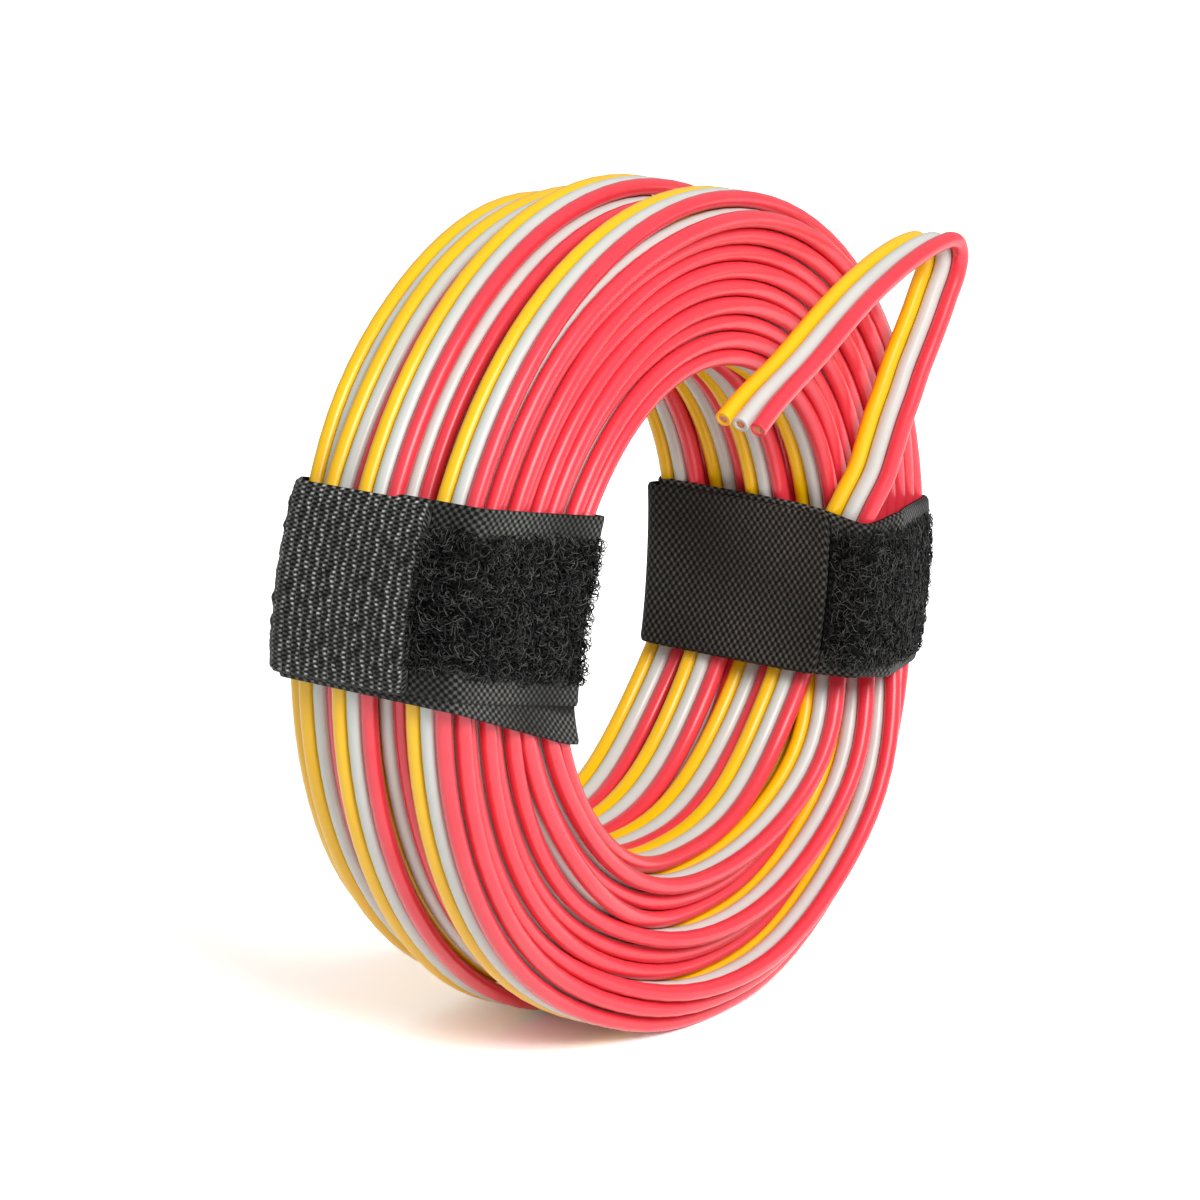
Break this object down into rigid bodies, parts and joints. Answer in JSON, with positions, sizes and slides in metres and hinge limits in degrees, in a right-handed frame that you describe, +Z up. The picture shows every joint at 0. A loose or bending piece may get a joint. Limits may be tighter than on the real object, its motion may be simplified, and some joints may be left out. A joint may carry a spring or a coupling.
{
  "type": "coil of power cable",
  "caption": "Round coil of flat yellow, white and red ribbon power cable, wound in layers and held by black hook-and-loop straps, with its cut free end folded over the front.",
  "frame": {"origin": "on the floor, where the red core of the second column is pressed flat, 1.15 mm behind the middle of the coil's width", "axes": "+Z up, Y along the axis of the coil with the front face towards -Y, X across the coil, past both straps"},
  "size_m": [0.1166, 0.0426, 0.1075],
  "materials": {
    "yellow_pvc": "extruded yellow PVC insulation, satin",
    "white_pvc": "extruded white PVC insulation, satin",
    "red_pvc": "extruded red PVC insulation, satin",
    "copper": "cut ends of bare stranded copper",
    "loop_tape": "black woven nylon tape with a brushed loop pile",
    "hook_tape": "black woven nylon tape, back of the hook side"
  },
  "bodies": {
    "root": {"yellow_winding": "yellow_pvc", "white_winding": "white_pvc", "red_winding": "red_pvc", "yellow_tail": "yellow_pvc", "white_tail": "white_pvc", "red_tail": "red_pvc", "yellow_conductor": "copper", "white_conductor": "copper", "red_conductor": "copper", "near_strap_band": "loop_tape", "near_strap_tab": "hook_tape", "far_strap_band": "loop_tape", "far_strap_tab": "hook_tape"}
  },
  "joints": []
}
